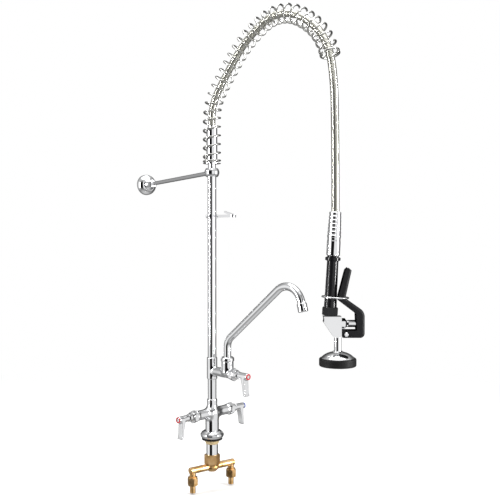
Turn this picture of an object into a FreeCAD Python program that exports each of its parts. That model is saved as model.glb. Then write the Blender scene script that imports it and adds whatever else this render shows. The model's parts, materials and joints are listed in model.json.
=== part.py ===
import FreeCAD, Part

import math
import os
from types import SimpleNamespace

import Sketcher
from FreeCAD import Placement, Rotation, Vector

# Deck-mounted pre-rinse faucet with an add-on swing faucet, a wall bracket, an overhead spring and a
# squeeze spray valve. Millimetres. The origin is on the riser's axis at the underside of the deck gasket.
# +Z is up, -Y is towards the user, +Y towards the wall, and the hot handle is on the -X side.

doc = FreeCAD.newDocument("PreRinseFaucet")
sheet = doc.addObject("Spreadsheet::Sheet", "Sizes")

SIZES = {
    # risers and the deck stack
    "riser_diameter": 19.1,
    "riser_wall": 1.6,
    "gasket_diameter": 45.5,
    "gasket_height": 4.2,
    "washer_recess_radius": 17.9,
    "escutcheon_radius": 26.0,
    "escutcheon_top": 20.0,
    "shank_diameter": 26.0,
    "shank_bottom": -44.5,
    # supply manifold
    "manifold_axis": -60.5,
    "manifold_diameter": 15.0,
    "manifold_length": 117.0,
    "manifold_turn": -9.3,
    "supply_spacing": 101.6,
    "supply_tube_diameter": 12.3,
    "supply_tube_bottom": -108.6,
    "supply_pin_length": 15.0,
    "supply_neck_step": 0.4,
    "coupling_nut_corners": 35.0,
    "leg_nut_corners": 23.0,
    # mixing body
    "mixer_axis": 59.0,
    "mixer_lower_radius": 15.0,
    "mixer_upper_radius": 11.4,
    "mixer_top": 90.0,
    "mixer_arm_radius": 10.6,
    "mixer_arm_end": 50.0,
    "bonnet_corners": 28.0,
    "bonnet_length": 20.0,
    # valve handles
    "hub_radius": 7.3,
    "hub_length": 29.0,
    "lever_drop": 42.0,
    "lever_width": 14.0,
    "index_radius": 6.4,
    # add-on faucet
    "tee_radius": 11.5,
    "tee_bottom": 133.6,
    "tee_top": 182.0,
    "addon_axis": 152.0,
    "addon_arm_radius": 10.2,
    "addon_arm_end": 63.0,
    "boss_distance": 48.5,
    "boss_radius": 13.2,
    "boss_top": 178.0,
    "spout_nut_top": 188.0,
    "spout_diameter": 16.0,
    "spout_wall": 1.2,
    "aerator_radius": 10.0,
    # finger hook and wall bracket
    "hook_height": 492.0,
    "hook_reach": 64.0,
    "bracket_height": 588.0,
    "bracket_collar_radius": 17.0,
    "bracket_collar_height": 18.6,
    "bracket_rod_diameter": 9.4,
    "bracket_rod_length": 305.0,
    "bracket_turn": 80.0,
    "bracket_droop": -2.0,
    "flange_radius": 25.3,
    # riser head, overhead spring and hose
    "riser_top": 597.5,
    "adapter_radius": 12.0,
    "adapter_bottom": 608.0,
    "adapter_top": 690.5,
    "bend_height": 691.0,
    "spring_radius": 18.0,
    "spring_wire": 4.0,
    "spring_pitch": 19.3,
    "closed_pitch": 4.4,
    "spring_foot": 610.6,
    "hose_diameter": 15.6,
    "hang_distance": 340.0,
    "hang_height": 494.0,
    # spray valve
    "spray_turn": -46.0,
    "grip_tilt": 3.0,
    "grip_radius": 10.8,
    "grip_foot_radius": 12.0,
    "collar_corners": 30.5,
    "nozzle_offset": 4.9,
    "nozzle_radius": 6.8,
    "bumper_radius": 35.2,
    "bumper_bottom": 203.0,
    "bumper_top": 218.5,
    "bonnet_height": 283.6,
    "pivot_across": 19.8,
    "pivot_height": 264.4,
    "pin_radius": 2.0,
    "squeeze_width": 28.4,
    "squeeze_wall": 1.6,
    "squeeze_web": 2.0,
    "squeeze_rounding": 5.5,
    "ring_radius": 26.2,
    "ring_wire": 3.2,
    # gap left between pieces that move on each other
    "running_gap": 0.3,
}


class Dim:
    """A size: its value now, and the sheet expression that gives it."""

    def __init__(self, value, text):
        self.value = value
        self.text = text

    def _join(self, sign, other, value):
        return Dim(value, f"({self.text} {sign} {text_of(other)})")

    def __add__(self, other):
        return self._join("+", other, self.value + value_of(other))

    def __sub__(self, other):
        return self._join("-", other, self.value - value_of(other))

    def __mul__(self, other):
        return self._join("*", other, self.value * value_of(other))

    def __truediv__(self, other):
        return self._join("/", other, self.value / value_of(other))

    def __neg__(self):
        return Dim(-self.value, f"(0 - {self.text})")


def value_of(size):
    return size.value if isinstance(size, Dim) else float(size)


def text_of(size):
    return size.text if isinstance(size, Dim) else f"{float(size):g}"


for row, (name, value) in enumerate(SIZES.items(), start=1):
    sheet.set(f"A{row}", name)
    sheet.set(f"B{row}", str(value))
    sheet.setAlias(f"B{row}", name)
doc.recompute()
s = SimpleNamespace(**{name: Dim(value, "Sizes." + name) for name, value in SIZES.items()})

HERE = Placement()
ZERO = Dim(0, "0")
parts = {}


# ---------------------------------------------------------------- tools for drawing


def add(kind, label):
    item = doc.addObject(kind, label)
    item.Label = label
    return item


def bind(item, prop, size):
    """Set a property, and tie it to the sheet where the size comes from there."""
    setattr(item, prop, value_of(size))
    if isinstance(size, Dim):
        item.setExpression(prop, size.text)


def keep(item):
    """Count this object as a finished piece of the faucet."""
    parts[item.Label] = item
    return item


def new_sketch(body, label, plane):
    sketch = body.newObject("Sketcher::SketchObject", label + "_outline")
    face = next(f for f in body.Origin.OriginFeatures if f.Role == plane)
    sketch.AttachmentSupport = (face, [""])
    sketch.MapMode = "FlatFace"
    return sketch


def draw(sketch, outline):
    """Draw a closed outline of (across, up) corners, listed counter-clockwise.

    A third number bows the side to the next corner outwards, or inwards if it is negative.
    """
    flat = [Vector(value_of(c[0]), value_of(c[1]), 0) for c in outline]
    sides = []
    for i, corner in enumerate(outline):
        here, there = flat[i], flat[(i + 1) % len(flat)]
        if len(corner) > 2:
            chord = there - here
            middle = (here + there) / 2 + Vector(chord.y, -chord.x, 0).normalize() * corner[2]
            sides.append(Part.Arc(here, middle, there))
        else:
            sides.append(Part.LineSegment(here, there))
    sketch.addGeometry(sides, False)

    def end_at(side, point):
        first = sketch.getPoint(side, 1)
        return 1 if first.distanceToPoint(point) < sketch.getPoint(side, 2).distanceToPoint(point) else 2

    rules, sizes = [], []
    for i, corner in enumerate(outline):
        before = (i - 1) % len(outline)
        end = end_at(i, flat[i])
        rules.append(Sketcher.Constraint("Coincident", before, end_at(before, flat[i]), i, end))
        for kind, size in (("DistanceX", corner[0]), ("DistanceY", corner[1])):
            rules.append(Sketcher.Constraint(kind, -1, 1, i, end, value_of(size)))
            if isinstance(size, Dim):
                sizes.append((len(rules) - 1, size.text))
        if len(corner) > 2:
            radius = sketch.Geometry[i].Radius
            rules.append(Sketcher.Constraint("Radius", i, radius))
    sketch.addConstraint(rules)
    for index, text in sizes:
        sketch.setExpression(f"Constraints[{index}]", text)


def turned(label, outline, where=HERE):
    """A body turned about its own Z axis, from an outline of (radius, height) corners."""
    body = add("PartDesign::Body", label)
    sketch = new_sketch(body, label, "XZ_Plane")
    draw(sketch, outline)
    solid = body.newObject("PartDesign::Revolution", label + "_turned")
    solid.Profile = sketch
    solid.ReferenceAxis = (sketch, ["V_Axis"])
    solid.Angle = 360
    body.Placement = where
    return body


def slab(label, outline, thickness, where=HERE, plane="XZ_Plane"):
    """A body of even thickness, half on each side of its outline's plane."""
    body = add("PartDesign::Body", label)
    sketch = new_sketch(body, label, plane)
    draw(sketch, outline)
    pad = body.newObject("PartDesign::Pad", label + "_pad")
    pad.Profile = sketch
    pad.SideType = "Symmetric"
    bind(pad, "Length", thickness)
    body.Placement = where
    return body


def tube(inner, outer, low, high):
    """The outline of a plain ring or tube."""
    return [(inner, low), (outer, low), (outer, high), (inner, high)]


def rod(label, radius, low, high, where=HERE):
    """A plain round bar along the placement's own Z axis."""
    bar = add("Part::Cylinder", label)
    bind(bar, "Radius", radius)
    bind(bar, "Height", ZERO + high - low)
    bar.Placement = where * Placement(Vector(0, 0, value_of(low)), Rotation())
    return bar


def fused(label, pieces, where=HERE):
    union = add("Part::MultiFuse", label)
    union.Shapes = pieces
    union.Refine = False
    union.Placement = where
    return union


def cut(label, base, tools, where=HERE):
    tool = tools[0] if len(tools) == 1 else fused(label + "_bores", tools)
    result = add("Part::Cut", label)
    result.Base = base
    result.Tool = tool
    result.Placement = where
    return result


def hexagon(label, corners, low, high, bore, where=HERE, bevel=1.0):
    """A hexagonal nut, bevelled at both ends, along the placement's own Z axis."""
    prism = add("Part::Prism", label + "_prism")
    prism.Polygon = 6
    bind(prism, "Circumradius", ZERO + corners / 2)
    bind(prism, "Height", ZERO + high - low)
    prism.Placement.Base.z = value_of(low)
    reach = value_of(corners) / 2
    flat = reach * math.cos(math.pi / 6)
    low, high = value_of(low), value_of(high)
    blank = turned(
        label + "_blank",
        [(bore, low), (flat, low), (reach, low + bevel), (reach, high - bevel), (flat, high), (bore, high)],
    )
    nut = add("Part::Common", label)
    nut.Base = prism
    nut.Tool = blank
    nut.Placement = where
    return nut


def as_feature(label, shape, where=HERE):
    """A swept piece, made by Part's own functions from the sheet's sizes."""
    item = add("Part::Feature", label)
    item.Shape = shape
    item.Placement = where
    return item


# ---------------------------------------------------------------- routes and sweeps


def rounded_route(points, radii=None):
    """Straight runs through the points and tangent arcs: as large as the runs allow, or of these radii."""
    edges, rounds = [], []
    start = points[0]
    for i in range(1, len(points) - 1):
        before = points[i] - points[i - 1]
        after = points[i + 1] - points[i]
        turn = before.getAngle(after)
        reach = 0.45 * min(before.Length, after.Length)
        if radii:
            reach = radii[i - 1] * math.tan(turn / 2)
        radius = reach / math.tan(turn / 2)
        rounds.append(radius)
        inward = Vector(before).normalize() * -reach
        outward = Vector(after).normalize() * reach
        bow = (inward + outward).normalize() * (radius / math.cos(turn / 2) - radius)
        edges.append(Part.LineSegment(start, points[i] + inward).toShape())
        edges.append(Part.Arc(points[i] + inward, points[i] + bow, points[i] + outward).toShape())
        start = points[i] + outward
    edges.append(Part.LineSegment(start, points[-1]).toShape())
    return Part.Wire(edges), rounds


def swept(route, radius, corners=False):
    """A round bar along a route; corners=True mitres it at each point of a polygon."""
    first = route.OrderedEdges[0]
    begin = first.valueAt(first.FirstParameter)
    heading = first.tangentAt(first.FirstParameter)
    ring = Part.Wire(Part.makeCircle(radius, begin, heading))
    pipe = Part.BRepOffsetAPI.MakePipeShell(route)
    if corners:
        pipe.setTransitionMode(1)
    pipe.add(ring)
    pipe.build()
    pipe.makeSolid()
    return pipe.shape()


def overhead(distance, height):
    """A point of the overhead arc's plane, which leads from the riser towards the user."""
    return Vector(0, -distance, height)


# ---------------------------------------------------------------- supply side, under the deck


def supply_manifold():
    """Brass bar with a union spigot on top and an outlet under each end, turned a little on the shank."""
    turn = Rotation(Vector(0, 0, 1), SIZES["manifold_turn"])
    frame = Placement(Vector(0, 0, 0), turn)
    half = SIZES["manifold_length"] / 2
    leg = SIZES["supply_spacing"] / 2
    axis = SIZES["manifold_axis"]
    radius = s.manifold_diameter / 2
    bevel = 1.5
    across = Placement(Vector(0, 0, axis), Rotation(Vector(0, 1, 0), 90))
    bar = turned(
        "manifold_run",
        [
            (0, -half),
            (radius - bevel, -half),
            (radius, -half + bevel),
            (radius, half - bevel),
            (radius - bevel, half),
            (0, half),
        ],
        across,
    )
    spigot = turned(
        "manifold_spigot",
        [
            (0, axis - 9.5),
            (9, axis - 9.5),
            (13.8, axis - 4.5, 1.6),
            (13.8, -56.2),
            (10.3, -55.2),
            (10.3, -50.0),
            (12.4, -50.0),
            (12.4, -46.4),
            (0, -46.4),
        ],
    )
    nut_room = rod("manifold_nut_room", s.coupling_nut_corners / 2 + 0.7, -55.2, -50.0)
    pieces = [cut("manifold_spotfaced_run", bar, [nut_room]), spigot]
    bores = [
        rod("manifold_hot_way", 4.2, -half + 6, -3, across),
        rod("manifold_cold_way", 4.2, 3, half - 6, across),
    ]
    for side, tag in ((-1, "hot"), (1, "cold")):
        foot = Placement(Vector(side * leg, 0, 0), Rotation())
        pieces.append(
            turned(
                f"manifold_{tag}_outlet",
                [
                    (0, axis),
                    (6.9, axis),
                    (6.9, -72.6),
                    (10.4, -74.2),
                    (10.4, -76.4),
                    (7.4, -76.4),
                    (7.4, -84.0),
                    (0, -84.0),
                ],
                foot,
            )
        )
        bores.append(rod(f"manifold_{tag}_drop", 4.6, -84.1, axis, foot))
        bores.append(
            rod(f"manifold_{tag}_rise", 2.6, axis, -46.3, Placement(Vector(side * 6.2, 0, 0), Rotation()))
        )
    keep(cut("manifold_bar", fused("manifold_casting", pieces), bores, frame))

    nuts = []
    for side, tag in ((-1, "hot"), (1, "cold")):
        at = Placement(Vector(side * leg, 0, 0), Rotation(Vector(0, 0, 1), 12))
        blank = hexagon(f"{tag}_leg_nut", s.leg_nut_corners, -92.8, -76.6, 7.5)
        lip = turned(f"{tag}_leg_nut_lip", tube(6.3, 8.2, -92.8, -89.4))
        nuts.append(fused(f"{tag}_leg_nut_whole", [blank, lip], frame * at))
        outer = s.supply_tube_diameter / 2
        pipe = turned(
            f"{tag}_supply_tube",
            [
                (4.6, s.supply_tube_bottom),
                (outer, s.supply_tube_bottom),
                (outer, s.supply_tube_bottom + s.supply_pin_length),
                (outer - s.supply_neck_step, s.supply_tube_bottom + s.supply_pin_length),
                (outer - s.supply_neck_step, -89.2),
                (7.3, -88.4),
                (7.3, -84.2),
                (4.6, -84.2),
            ],
            frame * at,
        )
        keep(pipe)
    group = add("Part::Compound", "leg_nuts")
    group.Links = nuts
    keep(group)


def deck_stack():
    """Coupling nut, washer, shank, cone washer, gasket and escutcheon, from the bottom up."""
    nut = hexagon("coupling_nut_hexagon", s.coupling_nut_corners, -54.8, -33.0, 13.1)
    lip = turned("coupling_nut_lip", tube(10.6, 13.6, -54.8, -50.3))
    keep(fused("coupling_nut", [nut, lip], Placement(Vector(), Rotation(Vector(0, 0, 1), 20))))
    keep(turned("union_washer", tube(4.0, 12.2, -46.3, s.shank_bottom - 0.1)))
    outer = s.shank_diameter / 2
    keep(
        turned(
            "shank",
            [
                (8.4, s.shank_bottom),
                (outer - 0.8, s.shank_bottom),
                (outer, s.shank_bottom + 0.8),
                (outer, 36.0),
                (8.4, 36.0),
            ],
        )
    )
    recess = s.washer_recess_radius
    keep(
        turned(
            "cone_washer",
            [
                (outer + 0.1, -9.4),
                (outer + 0.6, -9.4),
                (recess - 0.6, -1.2),
                (recess - 0.1, 2.0),
                (outer + 0.1, 2.0),
            ],
        )
    )
    rim = s.gasket_diameter / 2
    keep(
        turned(
            "deck_gasket",
            [
                (recess, 0),
                (rim - 0.5, 0),
                (rim, 0.8),
                (rim, s.gasket_height),
                (outer + 0.2, s.gasket_height),
                (outer + 0.2, 2.1),
                (recess, 2.1),
            ],
        )
    )
    wide = s.escutcheon_radius
    neck = s.mixer_lower_radius + 0.4
    top = s.escutcheon_top
    keep(
        turned(
            "escutcheon",
            [
                (20.8, s.gasket_height + 0.1),
                (22.4, s.gasket_height + 0.1, 0.9),
                (wide, 11.6, 1.3),
                (neck + 2.4, top),
                (neck, top),
                (neck, top - 1.6),
                (neck + 2.0, top - 1.6, -1.0),
                (wide - 1.7, 11.4, -0.8),
            ],
        )
    )


# ---------------------------------------------------------------- mixing faucet


def mixing_body():
    """Chrome cross: lower neck, two flared valve arms and the upper neck that holds the riser."""
    axis = SIZES["mixer_axis"]
    low = s.mixer_lower_radius
    high = s.mixer_upper_radius
    neck = turned(
        "mixer_neck",
        [
            (0, s.gasket_height + 0.1),
            (low, s.gasket_height + 0.1),
            (low, axis - 17),
            (low + 0.6, axis - 8, 0.5),
            (low - 0.4, axis + 8, -0.8),
            (high, axis + 19),
            (high, s.mixer_top - 0.8),
            (high - 0.8, s.mixer_top),
            (0, s.mixer_top),
        ],
    )
    arm = s.mixer_arm_radius
    end = s.mixer_arm_end
    across = Placement(Vector(0, 0, axis), Rotation(Vector(0, 1, 0), 90))
    arms = turned(
        "mixer_arms",
        [
            (0, -end),
            (arm + 0.9, -end),
            (arm + 1.4, -end + 0.6),
            (arm + 1.4, -end + 5),
            (arm, -end + 6),
            (arm + 0.2, -28, -0.9),
            (arm + 3.8, -9, 0.4),
            (arm + 3.8, 9, -0.9),
            (arm + 0.2, 28),
            (arm, end - 6),
            (arm + 1.4, end - 5),
            (arm + 1.4, end - 0.6),
            (arm + 0.9, end),
            (0, end),
        ],
        across,
    )
    bores = [
        rod("mixer_shank_bore", s.shank_diameter / 2 + 0.1, 0, 36.1),
        rod("mixer_chamber", 8.0, 36, axis + 16),
        rod("mixer_riser_bore", s.riser_diameter / 2 + 0.1, axis + 15.5, s.mixer_top + 1),
        rod("mixer_valve_bore", 8.2, -51, 51, across),
    ]
    keep(cut("mixing_body", fused("mixer_casting", [neck, arms]), bores))


def valve(tag, where):
    """Bonnet, stem and lever handle on a valve arm, whose end face is the placement's XY plane."""
    length = s.bonnet_length
    hexes = hexagon(f"{tag}_bonnet_hexagon", s.bonnet_corners, 0.1, 9.5, 3.9, bevel=1.3)
    turret = turned(
        f"{tag}_bonnet_turret",
        [
            (3.9, -12.0),
            (8.1, -12.0),
            (8.1, 0.1),
            (11.0, 9.0),
            (10.6, 11.0),
            (8.6, 12.6),
            (8.6, length - 1.2),
            (7.4, length),
            (3.9, length),
        ],
    )
    keep(fused(f"{tag}_bonnet", [hexes, turret], where))

    foot = length + 0.4
    tip = foot + s.hub_length
    radius = s.hub_radius
    hub = turned(
        f"{tag}_hub",
        [
            (0, foot),
            (radius - 0.8, foot),
            (radius, foot + 0.8),
            (radius - 0.5, tip - 3.2),
            (radius - 0.9, tip - 1.6),
            (0, tip - 1.6),
        ],
    )
    drop = SIZES["lever_drop"]
    near = value_of(foot) + 13.0
    blade = slab(
        f"{tag}_blade",
        [
            (0, near + 9.0),
            (-8, near + 8.5),
            (-drop + 10, near + 9.5, -0.6),
            (-drop + 2.5, near + 12.0, 0.9),
            (-drop, near + 9.5, 0.7),
            (-drop + 2.5, near + 5.5),
            (-drop + 9, near + 4.5, -0.5),
            (-8, near - 0.5),
            (0, near),
        ],
        s.lever_width,
    )
    bores = [
        rod(f"{tag}_stem_socket", 3.6, value_of(foot) - 1, value_of(tip) - 9),
        rod(f"{tag}_screw_hole", 2.1, value_of(tip) - 10, value_of(tip)),
    ]
    keep(cut(f"{tag}_handle", fused(f"{tag}_handle_casting", [hub, blade]), bores, where))

    socket = tip - 9.2
    stem = [
        (0, -30.0),
        (6.2, -30.0),
        (6.2, -27.6),
        (3.2, -27.0),
        (3.2, foot),
        (3.5, foot + 0.2),
        (3.5, socket),
        (0, socket),
    ]
    keep(turned(f"{tag}_stem", stem, where))
    index = s.index_radius
    ring = [
        (4.0, tip - 1.5),
        (index - 0.6, tip - 1.5),
        (index, tip - 1.1),
        (index - 0.3, tip),
        (4.6, tip),
        (4.0, tip - 0.5),
    ]
    keep(turned(f"{tag}_index_ring", ring, where))
    head = tip - 1.5
    start = socket + 0.2
    screw = [(0, start), (2.0, start), (2.0, head), (3.8, head), (3.5, tip - 0.4), (0, tip - 0.1)]
    keep(turned(f"{tag}_handle_screw", screw, where))


def valve_places():
    """Where each valve arm ends: its placement's +Z points out of the arm, and its +X points up."""
    end = SIZES["mixer_arm_end"]
    axis = SIZES["mixer_axis"]
    up = Vector(0, 0, 1)
    hot = Rotation(up, Vector(0, 1, 0), Vector(-1, 0, 0), "ZYX")
    cold = Rotation(up, Vector(0, -1, 0), Vector(1, 0, 0), "ZYX")
    addon = Rotation(up, Vector(-1, 0, 0), Vector(0, -1, 0), "ZYX")
    front = Vector(0, -SIZES["addon_arm_end"], SIZES["addon_axis"])
    return {
        "hot": Placement(Vector(-end, 0, axis), hot),
        "cold": Placement(Vector(end, 0, axis), cold),
        "addon": Placement(front, addon),
    }


def cartridges(places):
    """The fixed seat sleeves of the three valves, with the ported disc that each stem's own disc turns on."""
    sleeves = []
    port_place = Placement(Vector(0, 0, -17.5), Rotation(Vector(0, 1, 0), 90))
    for tag, where in places.items():
        sleeve = turned(
            f"{tag}_sleeve_blank",
            [(2.4, -33.0), (7.9, -33.0), (7.9, -12.2), (6.5, -12.2), (6.5, -30.4), (2.4, -30.4)],
        )
        port = rod(f"{tag}_sleeve_port", 3.0, -9, 9, port_place)
        sleeves.append(cut(f"{tag}_sleeve", sleeve, [port], where))
    group = add("Part::Compound", "valve_cartridges")
    group.Links = sleeves
    keep(group)


# ---------------------------------------------------------------- risers and add-on faucet


def risers():
    outer = s.riser_diameter / 2
    inner = outer - s.riser_wall
    keep(turned("lower_riser", tube(inner, outer, s.mixer_axis + 15.7, s.tee_bottom + 14)))
    keep(turned("upper_riser", tube(inner, outer, s.tee_top - 14, s.riser_top)))


def addon_tee():
    """Sleeve on the riser with an arm that carries the spout boss and the third valve."""
    axis = SIZES["addon_axis"]
    reach = SIZES["addon_arm_end"]
    sleeve = turned(
        "tee_sleeve",
        [
            (0, s.tee_bottom),
            (s.tee_radius - 1, s.tee_bottom),
            (s.tee_radius, s.tee_bottom + 1),
            (s.tee_radius, s.tee_top - 1),
            (s.tee_radius - 1, s.tee_top),
            (0, s.tee_top),
        ],
    )
    arm = s.addon_arm_radius
    forward = Placement(Vector(0, 0, axis), Rotation(Vector(1, 0, 0), 90))
    branch = turned(
        "tee_arm",
        [
            (0, 0),
            (arm - 1.2, 0),
            (arm, 34),
            (arm, reach - 5.5),
            (arm + 1.6, reach - 4.5),
            (arm + 1.6, reach - 0.6),
            (arm + 1.1, reach),
            (0, reach),
        ],
        forward,
    )
    out = SIZES["boss_distance"]
    over = Placement(Vector(0, -out, 0), Rotation())
    wide = s.boss_radius
    boss = turned(
        "tee_boss",
        [
            (0, axis - 8),
            (8, axis - 8),
            (wide - 1.4, axis - 1, 1.0),
            (wide, axis + 6),
            (wide, s.boss_top),
            (0, s.boss_top),
        ],
        over,
    )
    bores = [
        rod("tee_water_way", s.riser_diameter / 2 - s.riser_wall, 130, 186),
        rod("tee_lower_socket", s.riser_diameter / 2 + 0.1, 130, s.tee_bottom + 14.1),
        rod("tee_upper_socket", s.riser_diameter / 2 + 0.1, s.tee_top - 14.1, 186),
        rod("tee_valve_bore", 8.2, reach - 34, reach + 1, forward),
        rod("tee_cross_way", 5.0, 2, reach - 33, forward),
        rod("tee_spout_way", 4.6, axis, axis + 9, over),
        rod("tee_spout_bore", 10.1, axis + 8.6, 180, over),
    ]
    keep(cut("addon_tee", fused("tee_casting", [sleeve, branch, boss]), bores))
    spout = s.spout_diameter / 2 + s.running_gap
    keep(
        turned(
            "spout_nut",
            [
                (spout, s.boss_top - 5.5),
                (10.0, s.boss_top - 5.5),
                (10.0, s.boss_top + 0.1),
                (wide + 0.2, s.boss_top + 0.1),
                (wide + 1.4, s.boss_top + 1.4),
                (wide + 1.4, s.boss_top + 5.0, 1.6),
                (wide - 3.2, s.spout_nut_top),
                (spout, s.spout_nut_top),
            ],
            over,
        )
    )


SPOUT_FOOT = Vector(0, -SIZES["boss_distance"], SIZES["addon_axis"] + 9.0)
SPOUT_ELBOW = Vector(0, -SIZES["boss_distance"], 222.8)
SPOUT_CROWN = Vector(0, -241.0, 376.6)
SPOUT_END = Vector(0, -258.0, 313.4)
ELBOW_RADIUS = 28.0
CROWN_RADIUS = 39.0


def swing_spout():
    """Bent spout tube with its retaining collar, O-rings and aerator."""
    route, _ = rounded_route([SPOUT_FOOT, SPOUT_ELBOW, SPOUT_CROWN, SPOUT_END], [ELBOW_RADIUS, CROWN_RADIUS])
    outer = SIZES["spout_diameter"] / 2
    over = Placement(Vector(0, -SIZES["boss_distance"], 0), Rotation())
    skin = as_feature("spout_skin", swept(route, outer))
    core = as_feature("spout_core", swept(route, outer - SIZES["spout_wall"]))
    top = SIZES["boss_top"]
    collar = turned("spout_collar", tube(outer - 0.5, 9.7, top - 9.0, top - 6.0), over)
    keep(cut("swing_spout", fused("spout_bar", [skin, collar]), [core]))
    group = add("Part::Compound", "spout_orings")
    group.Links = [
        turned("spout_oring_lower", tube(outer, 9.8, top - 16.2, top - 14.2), over),
        turned("spout_oring_upper", tube(outer, 9.8, top - 12.4, top - 10.4), over),
    ]
    keep(group)

    down = SPOUT_END - SPOUT_CROWN
    mouth = Placement(SPOUT_END, Rotation(Vector(0, 0, 1), down))
    wide = s.aerator_radius
    keep(
        turned(
            "aerator_housing",
            [
                (outer + 0.05, -3.0),
                (wide - 0.8, -3.0),
                (wide, -2.2),
                (wide, 12.5),
                (wide - 0.7, 13.6),
                (7.6, 13.6),
                (7.6, 12.0),
                (8.6, 12.0),
                (8.6, 0.2),
                (outer + 0.05, 0.2),
            ],
            mouth,
        )
    )
    plug = turned("aerator_plug", [(0, 1.0), (8.5, 1.0), (8.5, 11.9), (0, 11.9)], mouth)
    ways = []
    for ring_radius, count in ((0, 1), (3.0, 6), (5.9, 12)):
        for n in range(count):
            turn = Rotation(Vector(0, 0, 1), 360.0 * n / count)
            at = mouth * Placement(turn.multVec(Vector(ring_radius, 0, 0)), Rotation())
            ways.append(rod(f"aerator_way_{ring_radius:g}_{n}".replace(".", "_"), 0.9, 0, 13, at))
    keep(cut("aerator_insert", plug, ways))


def finger_hook():
    """Clamp ring round the riser with a strip that reaches forward and folds back, and its clamp screw."""
    height = SIZES["hook_height"]
    outer = s.riser_diameter / 2
    band = turned("hook_band", tube(outer + 0.15, outer + 2.9, height - 3.8, height + 3.8))
    reach = SIZES["hook_reach"]
    start = SIZES["riser_diameter"] / 2 + 1.0
    low, high = height - 3.0, height + 3.0
    stem = slab(
        "hook_stem",
        [(-reach + 5, low), (-start, low), (-start, high), (-reach + 5, high)],
        2.0,
        plane="YZ_Plane",
    )
    bend = turned("hook_bend", tube(5.0, 7.0, low, high), Placement(Vector(6.0, -reach + 5, 0), Rotation()))
    behind = [(-reach + 5, low - 1), (0, low - 1), (0, high + 1), (-reach + 5, high + 1)]
    back = slab("hook_bend_trim", behind, 30.0, plane="YZ_Plane")
    half_bend = cut("hook_half_bend", bend, [back])
    tip = slab(
        "hook_tip",
        [
            (-reach + 5, low),
            (-reach + 37, high + 4.4),
            (-reach + 38, high + 6.6),
            (-reach + 36, high + 8.4),
            (-reach + 5, high),
        ],
        2.0,
        Placement(Vector(12.0, 0, 0), Rotation()),
        plane="YZ_Plane",
    )
    side = Placement(Vector(0, 0, height), Rotation(Vector(0, 1, 0), -90))
    lug = rod("hook_lug", 3.4, outer + 1.6, outer + 5.0, side)
    hole = rod("hook_screw_hole", 1.6, outer, outer + 6, side)
    keep(cut("finger_hook", fused("hook_blank", [band, stem, half_bend, tip, lug]), [hole]))
    head = outer + 5.1
    screw = [
        (0, outer + 0.3),
        (1.5, outer + 0.3),
        (1.5, head),
        (3.1, head),
        (3.1, head + 1.5),
        (2.4, head + 2.3),
        (0, head + 2.3),
    ]
    keep(turned("hook_screw", screw, side))


def wall_bracket():
    """Barrel collar on the riser, and a rod from it to a bell flange on the wall."""
    height = SIZES["bracket_height"]
    half = SIZES["bracket_collar_height"] / 2
    rim = s.bracket_collar_radius - 4.2
    bore = s.riser_diameter / 2 + 0.15
    ring = turned(
        "bracket_barrel",
        [(bore, height - half), (rim, height - half, 3.6), (rim, height + half), (bore, height + half)],
    )
    turn = Rotation(Vector(0, 0, 1), SIZES["bracket_turn"])
    along = Placement(Vector(0, 0, height), turn * Rotation(Vector(0, 1, 0), 90 - SIZES["bracket_droop"]))
    boss = turned("bracket_boss", [(0, 12.6), (6.8, 12.6), (6.8, 17.4), (6.2, 18.2), (0, 18.2)], along)
    socket = rod("bracket_socket", s.bracket_rod_diameter / 2 + 0.05, 14.0, 20.0, along)
    keep(cut("bracket_collar", fused("bracket_blank", [ring, boss]), [socket]))
    end = SIZES["bracket_rod_length"]
    keep(rod("bracket_rod", s.bracket_rod_diameter / 2, 14.0, end - 12.0, along))
    wide = s.flange_radius
    flange = turned(
        "flange_bell",
        [
            (0, end - 40.0),
            (8.2, end - 40.0),
            (9.6, end - 38.4),
            (10.2, end - 26.0, -1.2),
            (14.5, end - 18.0, 2.6),
            (wide, end - 4.0),
            (wide, end),
            (0, end),
        ],
        along,
    )
    hollows = [
        rod("flange_socket", s.bracket_rod_diameter / 2 + 0.05, end - 41.0, end - 12.0, along),
        rod("flange_hanger_hole", 4.0, end - 10.0, end + 1.0, along),
    ]
    keep(cut("wall_flange", flange, hollows))


# ---------------------------------------------------------------- overhead spring and hose

# The hose leads over the top to HOSE_JOINT, where it bends as the spray valve is pulled, and then drops.
HOSE_JOINT = overhead(335.07, 740.05)
HOSE_OVERHEAD = [
    overhead(0, SIZES["bend_height"] + 0.8),
    overhead(0, 718.4),
    overhead(8.8, 747),
    overhead(29.5, 775.5),
    overhead(55, 805),
    overhead(92, 846.5),
    overhead(135, 876),
    overhead(175, 894.5),
    overhead(222, 893),
    overhead(263, 874),
    overhead(300, 844),
    overhead(322, 808),
    overhead(332, 772),
    overhead(334.74, 743.43),
]
HOSE_DROP = [
    HOSE_JOINT,
    overhead(337, 720),
    overhead(338.2, 680),
    overhead(339.3, 615),
    overhead(339.9, 550),
    overhead(SIZES["hang_distance"], SIZES["hang_height"] + 0.6),
]
# the spring ends this far along the hose, on its way down
SPRING_REACH = 480.0
CLOSED_END_TURNS = 1.25
STEPS_PER_TURN = 12
TURNS_PER_SOLID = 4
SPRING_GAP = 1.6


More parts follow.
